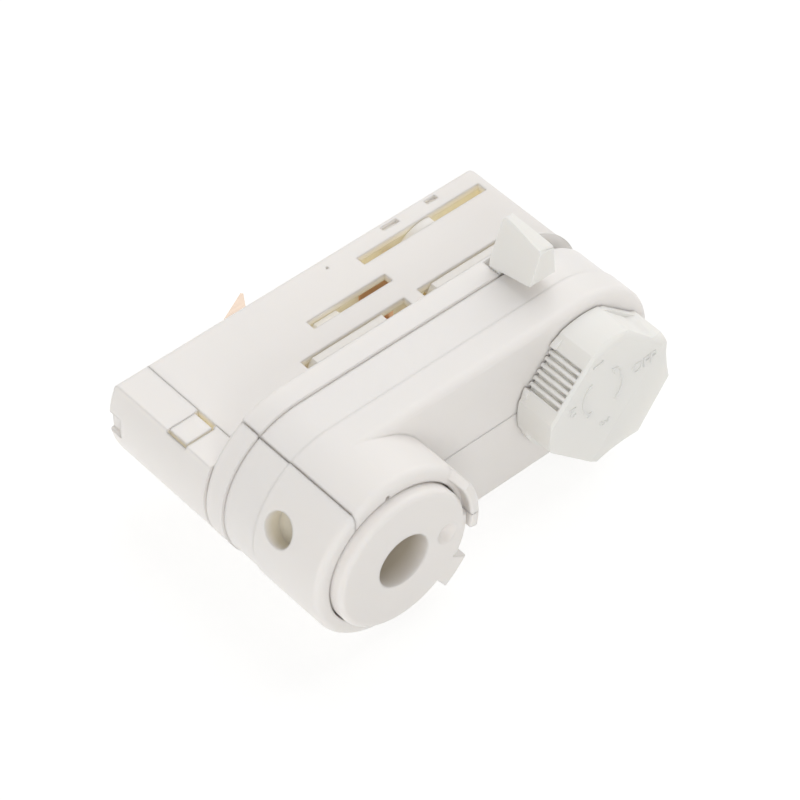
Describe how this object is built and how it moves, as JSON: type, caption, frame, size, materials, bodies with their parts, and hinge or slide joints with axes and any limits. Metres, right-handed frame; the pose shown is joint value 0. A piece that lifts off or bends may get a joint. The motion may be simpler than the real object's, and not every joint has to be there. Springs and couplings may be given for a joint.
{
  "type": "track light adapter",
  "caption": "White plastic adapter that locks a hanging luminaire into a lighting track, with a lock lever, a circuit selector knob and a swivel disc for a suspension tube.",
  "frame": {"origin": "axis of the suspension tube's bore, on the end face of the swivel disc", "axes": "+Z into the track, +X from the boss to the selector knob, -Y is the front with the lever"},
  "size_m": [0.0826, 0.0427, 0.0604],
  "materials": {
    "white_plastic": "fine satin",
    "copper": "bare",
    "brass": "bare",
    "steel": "zinc plated"
  },
  "bodies": {
    "housing": {"rear_shell": "white_plastic", "front_cover": "white_plastic", "friction_washer": "steel", "cam_pivot_pin": "steel", "neutral_pivot_pin": "steel", "drum_wiper": "brass", "detent_spring": "steel", "earth_contact": "copper", "phase_strip": "copper", "neutral_strip": "copper", "terminal_block": "white_plastic", "terminal_clamps": "brass", "terminal_screws": "steel"},
    "nipple": {"swivel_nipple": "white_plastic", "nipple_nut": "steel"},
    "lever": {"lock_lever": "white_plastic", "lever_sleeve": "white_plastic", "lock_cam_right": "white_plastic"},
    "left_cam": {"lock_cam_left": "white_plastic"},
    "link": {"link_bar": "white_plastic"},
    "neutral": {"neutral_arm": "white_plastic", "neutral_blade": "brass"},
    "selector": {"phase_knob": "white_plastic", "selector_shaft": "steel", "contact_drum": "white_plastic", "phase_blade_upper": "brass", "phase_blade_lower": "brass"}
  },
  "joints": [
    {"name": "nipple_turn", "type": "hinge", "parent": "housing", "child": "nipple", "pos_m": [0, 0, 0], "axis": [0, 0, 1], "range_deg": [-21, 264]},
    {"name": "lever_turn", "type": "hinge", "parent": "housing", "child": "lever", "pos_m": [0.0496, 0, 0.028], "axis": [0, 0, 1], "range_deg": [0, 90]},
    {"name": "cam_turn", "type": "hinge", "parent": "housing", "child": "left_cam", "pos_m": [0.023, 0, 0.038], "axis": [0, 0, 1], "range_deg": [0, 90]},
    {"name": "neutral_turn", "type": "hinge", "parent": "housing", "child": "neutral", "pos_m": [0.029, 0, 0.045], "axis": [0, 0, 1], "range_deg": [0, 90]},
    {"name": "link_turn", "type": "hinge", "parent": "lever", "child": "link", "pos_m": [0.0517, 0.00364, 0.0404], "axis": [0, 0, 1], "range_deg": [-90, 0]},
    {"name": "knob_turn", "type": "hinge", "parent": "housing", "child": "selector", "pos_m": [0.0496, 0, 0.01], "axis": [0, 0, 1], "range_deg": [-120, 60]}
  ],
  "couplings": [
    {"joint": "cam_turn", "follows": "lever_turn", "ratio": 1},
    {"joint": "neutral_turn", "follows": "lever_turn", "ratio": 1},
    {"joint": "link_turn", "follows": "lever_turn", "ratio": -1}
  ]
}
